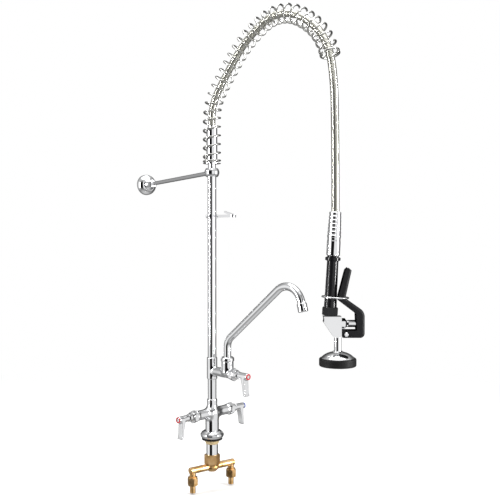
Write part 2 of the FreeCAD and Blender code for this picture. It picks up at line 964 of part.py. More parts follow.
def hose():
    """The hose's two solids: over the top inside the spring, and the drop to the spray valve."""
    radius = SIZES["hose_diameter"] / 2
    heading = HOSE_OVERHEAD[-1] - HOSE_OVERHEAD[-2]
    ball = Part.makeSphere(radius - 0.2, HOSE_JOINT, heading)
    cup = Part.makeSphere(radius + 0.5, HOSE_JOINT, heading)
    over, over_radii = rounded_route(HOSE_OVERHEAD)
    drop, drop_radii = rounded_route(HOSE_DROP)
    section = math.pi * radius**2
    for label, route, radii in (("hose_overhead", over, over_radii), ("hose_drop", drop, drop_radii)):
        solid = swept(route, radius)
        print(label, "length", round(route.Length, 1), "radii", [round(r) for r in radii])
        print(label, "volume over section times length", round(solid.Volume / (section * route.Length), 5))
        keep(as_feature(label, solid.cut(cup) if label == "hose_overhead" else solid.fuse(ball)))
    return over


def riser_head():
    """The swivelling hose adapter that stands on the riser inside the spring's foot."""
    inner = s.riser_diameter / 2 - s.riser_wall
    wide = s.adapter_radius
    top = s.adapter_top
    keep(
        turned(
            "hose_adapter",
            [
                (4.5, s.riser_top - 16),
                (inner - s.running_gap, s.riser_top - 16),
                (inner - s.running_gap, s.riser_top + 0.3),
                (8.4, s.riser_top + 0.3),
                (8.4, s.adapter_bottom - 0.6),
                (wide + 7.6, s.adapter_bottom - 0.6),
                (wide + 7.6, s.adapter_bottom + 0.4),
                (wide, s.adapter_bottom + 1.2),
                (wide, top - 6.0),
                (wide - 1.5, top - 4.2),
                (wide - 4.0, top - 4.2),
                (wide - 4.0, top),
                (4.5, top),
            ],
        )
    )


def coil(first, last, place):
    """Points of a wound wire, STEPS_PER_TURN to a turn; place(turns) gives the coil's centre and axes."""
    steps = round((last - first) * STEPS_PER_TURN)
    radius = SIZES["spring_radius"]
    points = []
    for n in range(steps + 1):
        turns = first + n / STEPS_PER_TURN
        centre, side, across = place(turns)
        angle = 2 * math.pi * turns
        points.append(centre + side * (radius * math.cos(angle)) + across * (radius * math.sin(angle)))
    return points


def springs(route):
    """The foot of the spring round the adapter, and the overhead spring wound round the hose's line."""
    foot = SIZES["spring_foot"]
    hinge = SIZES["bend_height"]
    open_turns = 4
    open_pitch = (hinge - foot - SIZES["closed_pitch"]) / open_turns

    def at_foot(turns):
        rise = SIZES["closed_pitch"] * min(turns, 1) + open_pitch * max(turns - 1, 0)
        return Vector(0, 0, foot + rise), Vector(1, 0, 0), Vector(0, 1, 0)

    wire = SIZES["spring_wire"] / 2
    base = swept(Part.makePolygon(coil(0, 1 + open_turns, at_foot)), wire, corners=True)
    keep(as_feature("spring_base", base))

    edges = route.OrderedEdges

    def on_route(distance):
        for edge in edges:
            if distance <= edge.Length or edge is edges[-1]:
                at = edge.getParameterByLength(min(distance, edge.Length))
                return edge.valueAt(at), edge.tangentAt(at)
            distance -= edge.Length

    closed = CLOSED_END_TURNS * SIZES["closed_pitch"]
    open_part = SPRING_REACH - closed
    turns_open = round(open_part / SIZES["spring_pitch"])
    pitch = open_part / turns_open
    gap = SPRING_GAP / (2 * math.pi * SIZES["spring_radius"])

    def on_arc(turns):
        along = pitch * min(turns, turns_open) + SIZES["closed_pitch"] * max(turns - turns_open, 0)
        centre, heading = on_route(along)
        side = Vector(1, 0, 0)
        return centre, side, heading.cross(side)

    last = turns_open + CLOSED_END_TURNS
    solids = []
    first = gap
    while first < last - 0.5:
        stop = min(round(first) + TURNS_PER_SOLID, last)
        points = coil(first, stop, on_arc)
        points[-1] = coil(stop, stop, on_arc)[0]
        solids.append(swept(Part.makePolygon(points), wire, corners=True))
        first = stop
    print("overhead spring", turns_open, "open turns, pitch", round(pitch, 2), "in", len(solids), "solids")
    keep(as_feature("overhead_spring", Part.makeCompound(solids)))


# ---------------------------------------------------------------- spray valve

SPRAY = Placement(Vector(0, -SIZES["hang_distance"], 0), Rotation(Vector(0, 0, 1), SIZES["spray_turn"]))
GRIP = SPRAY * Placement(Vector(0, 0, SIZES["hang_height"]), Rotation(Vector(0, 1, 0), SIZES["grip_tilt"]))
SIDEWAYS = Rotation(Vector(1, 0, 0), -90)


def hand_grip():
    """Ribbed hose sleeve, cap, black grip and hexagonal collar, hanging along the tilted grip axis."""
    ribs = 7
    step = 7.2
    outline = [(8.0, 0.0)]
    top = 10.6
    for n in range(ribs):
        grow = 0.28 * n
        high = -step * n
        crest = top + grow + 0.7
        outline += [(top + grow, high), (crest, high - 0.9), (crest, high - 4.6), (top + grow, high - 5.5)]
    outline += [(top + grow, -53.0), (8.0, -53.0)]
    outline.reverse()
    keep(turned("ribbed_sleeve", outline, GRIP))
    keep(
        turned(
            "hose_ferrule",
            [(3.5, -90.0), (6.6, -90.0), (6.6, -54.0), (7.6, -53.2), (7.9, -52.0), (7.9, -2.0), (3.5, -2.0)],
            GRIP,
        )
    )
    keep(
        turned(
            "handle_cap",
            [
                (6.7, -82.0),
                (12.2, -82.0),
                (12.8, -81.2),
                (12.8, -55.0),
                (11.8, -53.1),
                (8.0, -53.1),
                (6.7, -54.2),
            ],
            GRIP,
        )
    )
    radius = s.grip_radius
    foot = s.grip_foot_radius
    keep(
        turned(
            "grip",
            [
                (7.0, -179.4),
                (foot, -179.4),
                (foot, -176.0),
                (foot - 0.6, -150.0),
                (radius, -92.5),
                (14.4, -91.0),
                (14.4, -86.0),
                (12.6, -85.0),
                (11.0, -85.0),
                (11.0, -82.5),
                (7.0, -82.5),
            ],
            GRIP,
        )
    )
    turned_on = GRIP * Placement(Vector(), Rotation(Vector(0, 0, 1), 8))
    keep(hexagon("hex_collar", s.collar_corners, -195.0, -179.5, 7.0, turned_on, bevel=1.4))


def valve_body():
    """Flat-sided chrome casting that narrows to the nozzle, with the bonnet's socket and the lever's lug."""
    out = SIZES["nozzle_offset"]
    cheek = slab(
        "valve_cheek",
        [
            (-4.6, 260.0),
            (-22.8, 287.0, 1.2),
            (-23.2, 297.6),
            (10.9, 297.6),
            (11.1, 295.0),
            (11.1, 260.0),
            (9.6, 258.0),
            (-2.6, 258.0),
        ],
        23.0,
    )
    nozzle = turned(
        "valve_nozzle",
        [(0, 228.6), (s.nozzle_radius, 228.6), (s.nozzle_radius, 262.0), (0, 262.0)],
        Placement(Vector(out, 0, 0), Rotation()),
    )
    lug = slab(
        "valve_lug",
        [(9, 261.4), (20.5, 261.4, 1.0), (24.2, 264.4, 1.4), (20.5, 268.8), (9, 268.8)],
        s.squeeze_width - s.squeeze_wall * 2 - 1.8,
    )
    high = SIZES["bonnet_height"]
    pivot = Placement(Vector(SIZES["pivot_across"], 0, SIZES["pivot_height"]), SIDEWAYS)
    sideways = Placement(Vector(0, 0, high), Rotation(Vector(0, 1, 0), 90))
    bores = [
        rod("valve_inlet", 6.0, 272, 300, Placement(Vector(-9.0, 0, 0), Rotation())),
        rod("valve_outlet", 4.6, 227, 279, Placement(Vector(out, 0, 0), Rotation())),
        rod("valve_bonnet_bore", 7.4, -4, 12, sideways),
        rod("valve_stem_bore", 4.2, -9, -3.9, sideways),
        rod("valve_pin_hole", s.pin_radius, -14, 14, pivot),
    ]
    keep(cut("valve_body", fused("valve_casting", [cheek, nozzle, lug]), bores, SPRAY))

    hexes = hexagon("valve_bonnet_hexagon", 20.6, 11.2, 19.0, 3.4, bevel=1.0)
    throat = turned(
        "valve_bonnet_throat",
        [
            (3.4, 2.0),
            (7.2, 2.0),
            (7.2, 11.4),
            (9.0, 18.0),
            (6.3, 21.6),
            (6.9, 25.0),
            (6.9, 39.4),
            (6.1, 40.4),
            (3.4, 40.4),
        ],
    )
    keep(fused("valve_bonnet", [hexes, throat], SPRAY * sideways))

    keep(
        turned(
            "plunger",
            [
                (0, -3.0),
                (3.8, -3.0),
                (3.8, -0.6),
                (3.1, -0.4),
                (3.1, 44.0),
                (5.0, 44.0),
                (5.0, 48.0),
                (2.4, 50.9),
                (1.2, 51.9),
                (0, 51.9),
            ],
            SPRAY * sideways,
        )
    )
    half = value_of(s.squeeze_width) / 2
    keep(
        turned(
            "pivot_pin",
            [
                (0, -half - 2.4),
                (3.0, -half - 2.4),
                (3.9, -half - 1.4),
                (3.9, -half - 0.3),
                (2.0, -half - 0.3),
                (2.0, half + 0.3),
                (3.2, half + 0.3),
                (3.2, half + 1.8),
                (0, half + 1.8),
            ],
            SPRAY * pivot,
        )
    )


def spray_head():
    """Chrome bell, perforated face and rubber bumper under the nozzle."""
    under = SPRAY * Placement(Vector(SIZES["nozzle_offset"], 0, 0), Rotation())
    low = s.bumper_bottom
    wide = s.bumper_radius
    tube_radius = s.nozzle_radius + 0.05
    keep(
        turned(
            "spray_dome",
            [
                (11.0, 227.4),
                (30.2, 217.0),
                (30.2, 208.4),
                (31.6, 208.4),
                (31.6, 218.6),
                (31.0, 219.6, 1.6),
                (12.0, 229.6, -0.4),
                (9.2, 231.4),
                (tube_radius, 231.4),
                (tube_radius, 228.5),
                (9.0, 228.5),
            ],
            under,
        )
    )
    keep(
        turned(
            "spray_bumper",
            [
                (27.0, low + 0.6),
                (28.0, low),
                (wide - 2.5, low, 0.7),
                (wide, low + 2.5),
                (wide, s.bumper_top - 3.0, 0.9),
                (wide - 3.0, s.bumper_top),
                (31.7, s.bumper_top),
                (31.7, 208.3),
                (27.0, 208.3),
            ],
            under,
        )
    )
    disc = [(0, 209.0), (26.0, 208.5), (30.1, 208.5), (30.1, 211.0), (0, 211.0)]
    plate = turned("spray_plate", disc, under)
    jets = []
    for ring_radius, count in ((7.0, 8), (13.5, 14), (20.0, 20)):
        for n in range(count):
            spot = Rotation(Vector(0, 0, 1), 360.0 * n / count).multVec(Vector(ring_radius, 0, 0))
            name = f"jet_{ring_radius:g}_{n}".replace(".", "_")
            jets.append(rod(name, 0.8, 207, 212, under * Placement(spot, Rotation())))
    keep(cut("spray_face", plate, jets))


def smooth(corners):
    """Corners of (across, up, radius), listed counter-clockwise, as an outline with tangent arcs."""
    outline = []
    for i, (across, up, radius) in enumerate(corners):
        if not radius:
            outline.append((across, up))
            continue
        here = Vector(across, up, 0)
        back = (Vector(*corners[i - 1][:2], 0) - here).normalize()
        ahead = (Vector(*corners[(i + 1) % len(corners)][:2], 0) - here).normalize()
        half_turn = (math.pi - back.getAngle(ahead)) / 2
        reach = radius * math.tan(half_turn)
        outwards = 1 if back.cross(ahead).z < 0 else -1
        start, end = here + back * reach, here + ahead * reach
        outline += [(start.x, start.y, outwards * radius * (1 - math.cos(half_turn))), (end.x, end.y)]
    return outline


def rounded_slab(label, corners, back, thickness, radius):
    """A slab whose two edges along the polyline `back` are rounded, so its section is like a U."""
    blank = slab(label + "_blank", smooth(corners), thickness)
    doc.recompute()
    line = Part.makePolygon([Vector(across, 0, up) for across, up in back])
    along = []
    for number, edge in enumerate(blank.Shape.Edges, start=1):
        middle = edge.valueAt((edge.FirstParameter + edge.LastParameter) / 2)
        if abs(abs(middle.y) - value_of(thickness) / 2) < 0.01:
            flat = Part.Vertex(middle.x, 0, middle.z)
            if flat.distToShape(line)[0] < 4.0:
                along.append((number, radius, radius))
    rounded = add("Part::Fillet", label)
    rounded.Base = blank
    rounded.Edges = along
    return rounded


def squeeze_lever():
    """C-shaped channel lever: a fork round the pivot, an upright, a sloping neck and a leaning blade."""
    across, height = SIZES["pivot_across"], SIZES["pivot_height"]
    low, right = 257.4, 54.4
    web = SIZES["squeeze_web"]
    outer = [
        (11.4, low, 0),
        (right, low, 8.5),
        (right, 306.65, 18.0),
        (18.22, 332.28, 5.0),
        (29.6, 384.0, 0),
        (23.0, 389.8, 0),
        (18.2, 385.4, 0),
        (5.4, 336.6, 0),
        (5.2, 327.6, 0),
        (38.2, 302.7, 2.0),
        (39.4, 271.4, 0),
        (18.0, 271.4, 0),
        (13.5, 275.2, 0),
        (11.4, 274.4, 0),
    ]
    outside = rounded_slab(
        "lever_outside",
        outer,
        [corner[:2] for corner in outer[:5]],
        s.squeeze_width,
        SIZES["squeeze_rounding"],
    )
    slope = (29.6 - 18.22) / (384.0 - 332.28)
    top = 394.0
    inner_top = 15.98 + slope * (top - 331.41)
    inner = [
        (14.6, low - 2.0, 0),
        (14.6, low + web, 0),
        (right - web, low + web, 6.5),
        (right - web, 305.61, 16.0),
        (15.98, 331.41, 7.0),
        (inner_top, top, 0),
        (-2.0, top, 0),
        (-2.0, 325.0, 0),
        (34.0, 300.0, 0),
        (34.0, 277.0, 0),
        (9.0, 277.0, 0),
        (9.0, low - 2.0, 0),
    ]
    inside = rounded_slab(
        "lever_inside",
        inner,
        [corner[:2] for corner in inner[1:6]],
        s.squeeze_width - s.squeeze_wall * 2,
        SIZES["squeeze_rounding"] - SIZES["squeeze_wall"],
    )
    pivot = Placement(Vector(across, 0, height), SIDEWAYS)
    hole = rod("lever_pin_hole", s.pin_radius + s.running_gap, -16, 16, pivot)
    keep(cut("squeeze_lever", outside, [inside, hole], SPRAY))


def hold_ring():
    """Hold-down ring that hangs loosely round the grip and the lever, resting on the lever's neck."""
    ring = add("Part::Torus", "hold_ring")
    bind(ring, "Radius1", s.ring_radius - s.ring_wire / 2)
    bind(ring, "Radius2", s.ring_wire / 2)
    ring.Placement = GRIP * Placement(Vector(8.4, 0, -160.4), Rotation())
    keep(ring)


# ---------------------------------------------------------------- build and write


def main():
    supply_manifold()
    deck_stack()
    mixing_body()
    places = valve_places()
    for tag, where in places.items():
        valve(tag, where)
    cartridges(places)
    risers()
    addon_tee()
    swing_spout()
    finger_hook()
    wall_bracket()
    riser_head()
    springs(hose())
    hand_grip()
    valve_body()
    spray_head()
    squeeze_lever()
    hold_ring()
    doc.recompute()

    faults = [o.Label for o in doc.Objects if {"Invalid", "Error"} & set(o.State)]
    for label, item in parts.items():
        if item.Shape.isNull() or not item.Shape.isValid() or item.Shape.Volume <= 0:
            faults.append(label + " shape")
    if faults:
        raise RuntimeError("failed objects: " + ", ".join(faults))
    os.makedirs("parts", exist_ok=True)
    for label, item in parts.items():
        item.Shape.exportStep(os.path.join("parts", label + ".step"))
    print(len(parts), "parts written")


main()
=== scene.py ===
"""Looks of the pre-rinse faucet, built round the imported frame. Metres, in the frame's own axes."""

import json
import math

import bpy
import numpy as np
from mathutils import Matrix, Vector

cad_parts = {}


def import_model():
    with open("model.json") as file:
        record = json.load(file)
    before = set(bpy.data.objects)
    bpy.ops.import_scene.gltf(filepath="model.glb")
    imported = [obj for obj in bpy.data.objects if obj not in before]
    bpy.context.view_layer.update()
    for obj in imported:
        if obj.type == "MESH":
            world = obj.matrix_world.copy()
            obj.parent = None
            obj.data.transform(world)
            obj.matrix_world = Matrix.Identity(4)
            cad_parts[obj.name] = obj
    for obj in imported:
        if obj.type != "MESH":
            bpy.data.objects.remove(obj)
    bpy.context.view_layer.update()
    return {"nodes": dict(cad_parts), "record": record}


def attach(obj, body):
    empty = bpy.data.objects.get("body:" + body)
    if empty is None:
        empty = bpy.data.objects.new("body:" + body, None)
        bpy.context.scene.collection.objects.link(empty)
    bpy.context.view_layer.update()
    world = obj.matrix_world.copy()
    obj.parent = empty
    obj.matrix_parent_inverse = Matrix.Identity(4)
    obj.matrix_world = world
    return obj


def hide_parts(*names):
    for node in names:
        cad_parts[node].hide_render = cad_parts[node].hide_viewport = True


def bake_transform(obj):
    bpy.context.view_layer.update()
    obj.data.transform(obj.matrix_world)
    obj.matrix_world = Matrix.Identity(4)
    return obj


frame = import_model()
nodes = frame["nodes"]
MM = 0.001


# ---------------------------------------------------------------- materials

# nearly all values of a noise texture lie between these two
NOISE_LOW = 0.3
NOISE_HIGH = 0.7


def fill_ramp(ramp, stops):
    """Put stops of (position, colour) on a colour ramp."""
    while len(ramp.elements) < len(stops):
        ramp.elements.new(0.5)
    for element, (position, colour) in zip(ramp.elements, stops):
        element.position = position
        element.color = (*colour, 1)


class Look:
    """A material and a short way to wire its nodes."""

    def __init__(self, name, **sockets):
        self.material = bpy.data.materials.new(name)
        self.material.use_nodes = True
        self.tree = self.material.node_tree
        self.shader = self.tree.nodes["Principled BSDF"]
        for socket, value in sockets.items():
            self.shader.inputs[socket.replace("_", " ")].default_value = value
        self.place = self.tree.nodes.new("ShaderNodeTexCoord").outputs["Object"]

    def node(self, kind, **settings):
        """A new shader node, with settings for its sockets or its own properties."""
        made = self.tree.nodes.new("ShaderNode" + kind)
        for key, value in settings.items():
            if key in made.inputs:
                made.inputs[key].default_value = value
            else:
                setattr(made, key, value)
        return made

    def link(self, output, socket):
        self.tree.links.new(output, socket)

    def noise(self, scale, detail, place=None):
        """The value of a noise texture, on the object's coordinates unless others are given."""
        made = self.node("TexNoise", Scale=scale, Detail=detail)
        self.link(place or self.place, made.inputs["Vector"])
        return made.outputs["Fac"]

    def stretched(self, scale):
        """The object's coordinates, scaled differently along each axis."""
        mapping = self.node("Mapping", Scale=scale)
        self.link(self.place, mapping.inputs["Vector"])
        return mapping.outputs["Vector"]

    def rough(self, value, low, high):
        """Roughness that goes from low to high with a noise value."""
        spread = self.node("MapRange")
        spread.inputs["From Min"].default_value = NOISE_LOW
        spread.inputs["From Max"].default_value = NOISE_HIGH
        spread.inputs["To Min"].default_value = low
        spread.inputs["To Max"].default_value = high
        self.link(value, spread.inputs["Value"])
        self.link(spread.outputs["Result"], self.shader.inputs["Roughness"])

    def colours(self, value, stops):
        """Base colour that goes through stops of (value, colour)."""
        ramp = self.node("ValToRGB")
        fill_ramp(ramp.color_ramp, stops)
        self.link(value, ramp.inputs["Fac"])
        self.link(ramp.outputs["Color"], self.shader.inputs["Base Color"])

    def bump(self, value, height, strength):
        """Bump from a value, on top of any bump that the look has."""
        made = self.node("Bump", Strength=strength, Distance=height)
        self.link(value, made.inputs["Height"])
        before = self.shader.inputs["Normal"].links
        if before:
            self.link(before[0].from_socket, made.inputs["Normal"])
        self.link(made.outputs["Normal"], self.shader.inputs["Normal"])


def chrome():
    """Bright plating over a polished casting, with faint wiped smears."""
    look = Look("chrome", Metallic=1.0, Base_Color=(0.80, 0.805, 0.815, 1))
    look.rough(look.noise(38, 5), 0.02, 0.06)
    return look.material


def brass():
    """Bare machined and cast brass, warmer and duller in patches."""
    look = Look("brass", Metallic=1.0)
    dark, middle, light = (0.44, 0.26, 0.09), (0.66, 0.41, 0.18), (0.80, 0.56, 0.30)
    look.colours(look.noise(65, 6), ((0.32, dark), (0.52, middle), (0.72, light)))
    look.rough(look.noise(210, 4), 0.3, 0.46)
    look.bump(look.noise(900, 3), 0.00015, 0.35)
    return look.material


def spring_steel():
    """Bright drawn wire, a little darker than plating."""
    look = Look("spring_steel", Metallic=1.0, Base_Color=(0.54, 0.54, 0.52, 1))
    look.rough(look.noise(300, 3), 0.08, 0.15)
    return look.material


def hose_steel():
    """Interlocked strip, a little yellow, with greyer specks."""
    look = Look("hose_steel", Metallic=1.0)
    look.colours(look.noise(420, 3), ((0.35, (0.48, 0.48, 0.43)), (0.65, (0.68, 0.67, 0.61))))
    look.rough(look.noise(180, 4), 0.08, 0.16)
    return look.material


def grip_black():
    """Smooth moulded grip with a slight gloss."""
    look = Look("grip_black", Base_Color=(0.006, 0.006, 0.007, 1), Specular_IOR_Level=0.28)
    look.rough(look.noise(70, 5), 0.14, 0.24)
    look.bump(look.noise(700, 3), 0.00008, 0.3)
    return look.material


def lever_black():
    """Coated steel with a fine grain that runs in faint bands."""
    look = Look("lever_black", Base_Color=(0.008, 0.008, 0.009, 1), Specular_IOR_Level=0.16)
    look.rough(look.noise(90, 5), 0.36, 0.52)
    look.bump(look.noise(1500, 3), 0.00022, 0.55)
    look.bump(look.noise(60, 2, look.stretched((3, 3, 0.35))), 0.0003, 0.35)
    return look.material


def black_rubber():
    """Dull black rubber."""
    look = Look("black_rubber", Base_Color=(0.008, 0.008, 0.008, 1), Specular_IOR_Level=0.14)
    look.rough(look.noise(120, 5), 0.42, 0.6)
    look.bump(look.noise(1100, 3), 0.00015, 0.5)
    return look.material


def cone_washer():
    """Tan washer, mottled and dull."""
    look = Look("cone_washer", Specular_IOR_Level=0.3)
    look.colours(look.noise(240, 5), ((0.3, (0.22, 0.16, 0.08)), (0.7, (0.46, 0.36, 0.20))))
    look.rough(look.noise(300, 4), 0.5, 0.75)
    return look.material


def fibre():
    """Red-brown fibre washer."""
    look = Look("fibre", Specular_IOR_Level=0.3)
    look.colours(look.noise(900, 6), ((0.3, (0.24, 0.10, 0.05)), (0.7, (0.42, 0.22, 0.13))))
    look.rough(look.noise(500, 3), 0.6, 0.85)
    return look.material


def plastic(name, colour):
    """Glossy plastic of one colour."""
    look = Look(name, Base_Color=(*colour, 1))
    look.rough(look.noise(150, 4), 0.18, 0.32)
    return look.material


LOOKS = {
    "chrome": chrome(),
    "brass": brass(),
    "spring_steel": spring_steel(),
    "hose_steel": hose_steel(),
    "grip_black": grip_black(),
    "lever_black": lever_black(),
    "black_rubber": black_rubber(),
    "cone_washer": cone_washer(),
    "fibre": fibre(),
    "index_red": plastic("index_red", (0.42, 0.008, 0.016)),
    "index_blue": plastic("index_blue", (0.02, 0.08, 0.55)),
    "white_plastic": plastic("white_plastic", (0.75, 0.75, 0.73)),
}
SLOT_OF = {piece["node"]: piece["material_slot"] for piece in frame["record"]["subparts"]}


def paint(obj, slot):
    """Give a piece the look of its material slot, and no other."""
    obj.data.materials.clear()
    obj.data.materials.append(LOOKS[slot])


# ---------------------------------------------------------------- meshes


def new_piece(name, vertices, faces, slot):
    """A smooth-shaded mesh in the scene, painted and with its material slot stated."""
    mesh = bpy.data.meshes.new(name)
    mesh.from_pydata([tuple(v) for v in vertices], [], faces)
    mesh.update()
    mesh.shade_smooth()
    obj = bpy.data.objects.new(name, mesh)
    bpy.context.scene.collection.objects.link(obj)
    paint(obj, slot)
    return obj


def tube_piece(name, rings, slot):
    """A closed tube through rings of points, with a flat cap at each end."""
    count = len(rings[0])
    vertices = [point for ring in rings for point in ring]
    faces = []
    for n in range(len(rings) - 1):
        for k in range(count):
            a, b = n * count + k, n * count + (k + 1) % count
            faces.append((a, b, b + count, a + count))
    faces.append(tuple(range(count))[::-1])
    faces.append(tuple((len(rings) - 1) * count + k for k in range(count)))
    return new_piece(name, vertices, faces, slot)


def smooth_line(name, points):
    """Points of the NURBS spline that has these control points."""
    curve = bpy.data.curves.new(name, "CURVE")
    curve.dimensions = "3D"
    curve.resolution_u = 24
    spline = curve.splines.new("NURBS")
    spline.points.add(len(points) - 1)
    for control, point in zip(spline.points, points):
        control.co = (*point, 1)
    spline.order_u = 3
    spline.use_endpoint_u = True
    guide = bpy.data.objects.new(name, curve)
    bpy.context.scene.collection.objects.link(guide)
    bpy.context.view_layer.update()
    mesh = bpy.data.meshes.new_from_object(guide)
    line = [vertex.co.copy() for vertex in mesh.vertices]
    bpy.data.objects.remove(guide)
    bpy.data.curves.remove(curve)
    bpy.data.meshes.remove(mesh)
    return line


class Line:
    """A line through points in the overhead arc's plane, read by distance along it."""

    reach = 2 * MM

    def __init__(self, points):
        self.points = np.array(points, float)
        steps = np.linalg.norm(np.diff(self.points, axis=0), axis=1)
        self.distance = np.concatenate(([0], np.cumsum(steps)))
        self.length = float(self.distance[-1])

    def at(self, distance):
        return Vector([np.interp(distance, self.distance, self.points[:, axis]) for axis in range(3)])

    def heading(self, distance):
        """The line's direction, taken between points a little before and after."""
        ahead = self.at(min(distance + self.reach, self.length))
        behind = self.at(max(distance - self.reach, 0))
        return (ahead - behind).normalized()


# ---------------------------------------------------------------- hose and spring


def overhead(distance, height):
    """A point of the overhead arc's plane, from its distance in front of the riser and its height, in mm."""
    return Vector((0, -distance * MM, height * MM))


HOSE_JOINT = overhead(335.07, 740.05)
HOSE_OVERHEAD = [
    overhead(0, 691.8),
    overhead(0, 718.4),
    overhead(8.8, 747),
    overhead(29.5, 775.5),
    overhead(55, 805),
    overhead(92, 846.5),
    overhead(135, 876),
    overhead(175, 894.5),
    overhead(222, 893),
    overhead(263, 874),
    overhead(300, 844),
    overhead(322, 808),
    overhead(332, 772),
    overhead(334.74, 743.43),
]
HOSE_DROP = [
    HOSE_JOINT,
    overhead(337, 720),
    overhead(338.2, 680),
    overhead(339.3, 615),
    overhead(339.9, 550),
    overhead(340, 494.6),
]
HOSE_RADIUS = 7.8 * MM
RIB_PITCH = 3.0 * MM
RIB_DEPTH = 0.8 * MM
SPRING_RADIUS = 18 * MM
WIRE_RADIUS = 2 * MM
SPRING_FOOT = 610.6 * MM
SPRING_SPLIT = 691 * MM
CLOSED_PITCH = 4.4 * MM
FOOT_TURNS = 4
OPEN_TURNS = 25
CLOSED_TURNS = 1.25
# the spring's closed end coil stops this far before the end of the hose's overhead part
SPRING_END_GAP = 48.3 * MM


def ribbed_hose(name, line, before):
    """Interlocked metal hose: a tube whose rib winds round it like a screw thread.

    It follows the line, and starts a length of before ahead of it.
    """
    segments, per_rib = 26, 6
    rings = []
    whole = line.length + before
    count = round(whole / (RIB_PITCH / per_rib))
    for n in range(count + 1):
        distance = -before + n * whole / count
        heading = line.heading(max(distance, 0))
        centre = line.at(max(distance, 0)) + heading * min(distance, 0)
        side = Vector((1, 0, 0))
        across = heading.cross(side)
        ring = []
        for k in range(segments):
            share = k / segments
            phase = (distance / RIB_PITCH + share) % 1.0
            radius = HOSE_RADIUS - RIB_DEPTH * (1 - math.sin(math.pi * phase) ** 0.5)
            angle = 2 * math.pi * share
            ring.append(centre + side * (radius * math.cos(angle)) + across * (radius * math.sin(angle)))
        rings.append(ring)
    return tube_piece(name, rings, "hose_steel")


def hoses():
    """Both parts of the hose. The drop part reaches back from the joint to the end of the overhead part."""
    over = Line(smooth_line("over_route", HOSE_OVERHEAD))
    drop = Line(smooth_line("drop_route", HOSE_DROP))
    overhead_hose = ribbed_hose("hose_overhead_ribbed", over, 0)
    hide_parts("hose_overhead")
    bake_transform(overhead_hose)
    drop_hose = ribbed_hose("hose_drop_ribbed", drop, (HOSE_JOINT - HOSE_OVERHEAD[-1]).length)
    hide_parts("hose_drop")
    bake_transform(drop_hose)
    return over


def wound_wire(name, turns, place):
    """A round wire with flat ends, wound about the centre and the two axes that place(turn) gives."""
    per_turn, segments = 36, 14
    steps = round(turns * per_turn)
    line = []
    for n in range(steps + 1):
        turn = turns * n / steps
        centre, side, across = place(turn)
        angle = 2 * math.pi * turn
        outward = side * math.cos(angle) + across * math.sin(angle)
        line.append((centre + outward * SPRING_RADIUS, outward))
    rings = []
    for n, (point, outward) in enumerate(line):
        ahead = line[min(n + 1, steps)][0] - line[max(n - 1, 0)][0]
        ahead.normalize()
        up = ahead.cross(outward).normalized()
        out = up.cross(ahead)
        ring = []
        for k in range(segments):
            angle = 2 * math.pi * k / segments
            ring.append(point + (out * math.cos(angle) + up * math.sin(angle)) * WIRE_RADIUS)
        rings.append(ring)
    return tube_piece(name, rings, "spring_steel")


def springs(over):
    """The spring's foot round the adapter, and the spring wound round the hose's line."""
    foot_pitch = (SPRING_SPLIT - SPRING_FOOT - CLOSED_PITCH) / FOOT_TURNS

    def at_foot(turns):
        rise = CLOSED_PITCH * min(turns, 1) + foot_pitch * max(turns - 1, 0)
        return Vector((0, 0, SPRING_FOOT + rise)), Vector((1, 0, 0)), Vector((0, 1, 0))

    foot = wound_wire("spring_foot_wire", 1 + FOOT_TURNS, at_foot)
    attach(foot, "overhead")
    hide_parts("spring_base")

    open_length = over.length - SPRING_END_GAP - CLOSED_TURNS * CLOSED_PITCH
    pitch = open_length / OPEN_TURNS

    def on_arc(turns):
        along = pitch * min(turns, OPEN_TURNS) + CLOSED_PITCH * max(turns - OPEN_TURNS, 0)
        side = Vector((1, 0, 0))
        return over.at(along), side, over.heading(along).cross(side)

    wire = wound_wire("overhead_spring_wire", OPEN_TURNS + CLOSED_TURNS, on_arc)
    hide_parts("overhead_spring")
    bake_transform(wire)


# ---------------------------------------------------------------- castings

# node, voxel size, passes that soften edges and passes that fill inside corners
CASTINGS = (
    ("mixing_body", 0.8 * MM, 2, 260),
    ("addon_tee", 0.7 * MM, 2, 90),
    ("hot_handle", 0.45 * MM, 8, 60),
    ("cold_handle", 0.45 * MM, 8, 60),
    ("addon_handle", 0.45 * MM, 8, 60),
)
SMOOTH_SHARE = 0.5
FILL_SHARE = 0.8
LAST_PASSES = 6
# passes of filling between two looks at which way is outward
NORMALS_EVERY = 10


def remeshed(node, voxel):
    """Points, faces and edges of a CAD node's even voxel mesh."""
    source = nodes[node]
    copy = bpy.data.objects.new(node + "_copy", source.data.copy())
    bpy.context.scene.collection.objects.link(copy)
    weld = copy.modifiers.new("weld", "WELD")
    weld.merge_threshold = 1e-6
    remesh = copy.modifiers.new("voxels", "REMESH")
    remesh.mode = "VOXEL"
    remesh.voxel_size = voxel
    bpy.context.view_layer.update()
    shaped = copy.evaluated_get(bpy.context.evaluated_depsgraph_get())
    mesh = bpy.data.meshes.new_from_object(shaped)
    points = np.array([v.co for v in mesh.vertices])
    faces = [tuple(f.vertices) for f in mesh.polygons]
    edges = np.array([tuple(e.vertices) for e in mesh.edges])
    bpy.data.objects.remove(copy)
    bpy.data.meshes.remove(mesh)
    return points, faces, edges


def neighbour_mean(points, edges):
    """For each point, the mean of the points that it shares an edge with."""
    total = np.zeros_like(points)
    count = np.bincount(edges.ravel(), minlength=len(points))[:, None]
    for axis in range(3):
        for here, there in ((0, 1), (1, 0)):
            total[:, axis] += np.bincount(
                edges[:, here], weights=points[edges[:, there], axis], minlength=len(points)
            )
    return total / np.maximum(count, 1)


